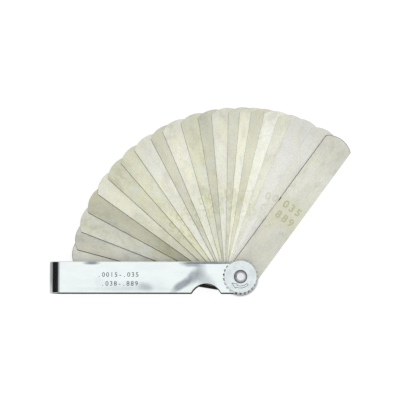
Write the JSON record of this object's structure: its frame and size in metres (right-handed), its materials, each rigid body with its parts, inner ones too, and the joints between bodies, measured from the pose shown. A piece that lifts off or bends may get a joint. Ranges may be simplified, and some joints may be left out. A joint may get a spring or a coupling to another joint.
{
  "type": "feeler gauge",
  "caption": "Pocket feeler gauge: a fan of graded steel leaves on a pivot screw with fluted head and lock nut, folding into a chromed U-shaped strip case.",
  "frame": {"origin": "on the pivot axis, at the flat underside of the pivot screw's head, which is the lowest point", "axes": "+Z along the pivot axis towards the lock nut; -X along the case towards its closed end; the fan opens towards +Y"},
  "size_m": [0.1255, 0.0787, 0.0168],
  "materials": {
    "case_chrome": "bright plated, lightly scuffed",
    "nut_chrome": "satin plated, turned face",
    "screw_steel": "turned, nickel plated",
    "washer_steel": "plain bright steel",
    "leaf_steel_pale": "satin spring steel, handled and faintly stained",
    "leaf_steel_straw": "satin spring steel, handled and faintly stained",
    "leaf_steel_grey": "satin spring steel, handled and faintly stained"
  },
  "bodies": {
    "case_and_screw": {"case": "case_chrome", "pivot_screw": "screw_steel"},
    "washer": {"thrust_washer": "washer_steel"},
    "nut": {"lock_nut": "nut_chrome"},
    "leaf_035": {"leaf_035": "leaf_steel_grey"},
    "leaf_0015": {"leaf_0015": "leaf_steel_straw"},
    "leaf_002": {"leaf_002": "leaf_steel_pale"},
    "leaf_003": {"leaf_003": "leaf_steel_straw"},
    "leaf_004": {"leaf_004": "leaf_steel_grey"},
    "leaf_005": {"leaf_005": "leaf_steel_pale"},
    "leaf_006": {"leaf_006": "leaf_steel_straw"},
    "leaf_007": {"leaf_007": "leaf_steel_straw"},
    "leaf_008": {"leaf_008": "leaf_steel_grey"},
    "leaf_009": {"leaf_009": "leaf_steel_grey"},
    "leaf_010": {"leaf_010": "leaf_steel_pale"},
    "leaf_011": {"leaf_011": "leaf_steel_straw"},
    "leaf_012": {"leaf_012": "leaf_steel_grey"},
    "leaf_013": {"leaf_013": "leaf_steel_straw"},
    "leaf_014": {"leaf_014": "leaf_steel_pale"},
    "leaf_015": {"leaf_015": "leaf_steel_straw"},
    "leaf_016": {"leaf_016": "leaf_steel_pale"},
    "leaf_018": {"leaf_018": "leaf_steel_straw"},
    "leaf_020": {"leaf_020": "leaf_steel_grey"},
    "leaf_025": {"leaf_025": "leaf_steel_pale"},
    "leaf_030": {"leaf_030": "leaf_steel_grey"}
  },
  "joints": [
    {"name": "nut_lift", "type": "slide", "parent": "case_and_screw", "child": "washer", "axis": [0, 0, 1], "range_m": [0, 0.000595]},
    {"name": "nut_turn", "type": "hinge", "parent": "washer", "child": "nut", "pos_m": [0, 0, 0], "axis": [0, 0, 1], "range_deg": [0, 270]},
    {"name": "leaf_035_swing", "type": "hinge", "parent": "case_and_screw", "child": "leaf_035", "pos_m": [0, 0, 0], "axis": [0, 0, 1], "range_deg": [-53.75, 126.25]},
    {"name": "leaf_0015_swing", "type": "hinge", "parent": "case_and_screw", "child": "leaf_0015", "pos_m": [0, 0, 0], "axis": [0, 0, 1], "range_deg": [-59.5, 120.5]},
    {"name": "leaf_002_swing", "type": "hinge", "parent": "case_and_screw", "child": "leaf_002", "pos_m": [0, 0, 0], "axis": [0, 0, 1], "range_deg": [-67, 113]},
    {"name": "leaf_003_swing", "type": "hinge", "parent": "case_and_screw", "child": "leaf_003", "pos_m": [0, 0, 0], "axis": [0, 0, 1], "range_deg": [-71.5, 108.5]},
    {"name": "leaf_004_swing", "type": "hinge", "parent": "case_and_screw", "child": "leaf_004", "pos_m": [0, 0, 0], "axis": [0, 0, 1], "range_deg": [-76.5, 103.5]},
    {"name": "leaf_005_swing", "type": "hinge", "parent": "case_and_screw", "child": "leaf_005", "pos_m": [0, 0, 0], "axis": [0, 0, 1], "range_deg": [-81, 99]},
    {"name": "leaf_006_swing", "type": "hinge", "parent": "case_and_screw", "child": "leaf_006", "pos_m": [0, 0, 0], "axis": [0, 0, 1], "range_deg": [-85, 95]},
    {"name": "leaf_007_swing", "type": "hinge", "parent": "case_and_screw", "child": "leaf_007", "pos_m": [0, 0, 0], "axis": [0, 0, 1], "range_deg": [-89, 91]},
    {"name": "leaf_008_swing", "type": "hinge", "parent": "case_and_screw", "child": "leaf_008", "pos_m": [0, 0, 0], "axis": [0, 0, 1], "range_deg": [-94.9, 85.1]},
    {"name": "leaf_009_swing", "type": "hinge", "parent": "case_and_screw", "child": "leaf_009", "pos_m": [0, 0, 0], "axis": [0, 0, 1], "range_deg": [-99.7, 80.3]},
    {"name": "leaf_010_swing", "type": "hinge", "parent": "case_and_screw", "child": "leaf_010", "pos_m": [0, 0, 0], "axis": [0, 0, 1], "range_deg": [-106, 74]},
    {"name": "leaf_011_swing", "type": "hinge", "parent": "case_and_screw", "child": "leaf_011", "pos_m": [0, 0, 0], "axis": [0, 0, 1], "range_deg": [-112.9, 67.1]},
    {"name": "leaf_012_swing", "type": "hinge", "parent": "case_and_screw", "child": "leaf_012", "pos_m": [0, 0, 0], "axis": [0, 0, 1], "range_deg": [-117.7, 62.3]},
    {"name": "leaf_013_swing", "type": "hinge", "parent": "case_and_screw", "child": "leaf_013", "pos_m": [0, 0, 0], "axis": [0, 0, 1], "range_deg": [-124.6, 55.4]},
    {"name": "leaf_014_swing", "type": "hinge", "parent": "case_and_screw", "child": "leaf_014", "pos_m": [0, 0, 0], "axis": [0, 0, 1], "range_deg": [-131.1, 48.9]},
    {"name": "leaf_015_swing", "type": "hinge", "parent": "case_and_screw", "child": "leaf_015", "pos_m": [0, 0, 0], "axis": [0, 0, 1], "range_deg": [-138, 42]},
    {"name": "leaf_016_swing", "type": "hinge", "parent": "case_and_screw", "child": "leaf_016", "pos_m": [0, 0, 0], "axis": [0, 0, 1], "range_deg": [-144.4, 35.6]},
    {"name": "leaf_018_swing", "type": "hinge", "parent": "case_and_screw", "child": "leaf_018", "pos_m": [0, 0, 0], "axis": [0, 0, 1], "range_deg": [-151.6, 28.4]},
    {"name": "leaf_020_swing", "type": "hinge", "parent": "case_and_screw", "child": "leaf_020", "pos_m": [0, 0, 0], "axis": [0, 0, 1], "range_deg": [-158.7, 21.3]},
    {"name": "leaf_025_swing", "type": "hinge", "parent": "case_and_screw", "child": "leaf_025", "pos_m": [0, 0, 0], "axis": [0, 0, 1], "range_deg": [-165, 15]},
    {"name": "leaf_030_swing", "type": "hinge", "parent": "case_and_screw", "child": "leaf_030", "pos_m": [0, 0, 0], "axis": [0, 0, 1], "range_deg": [-170.8, 9.2]}
  ],
  "couplings": [
    {"joint": "nut_turn", "follows": "nut_lift", "rad_per_m": 7915.8}
  ]
}
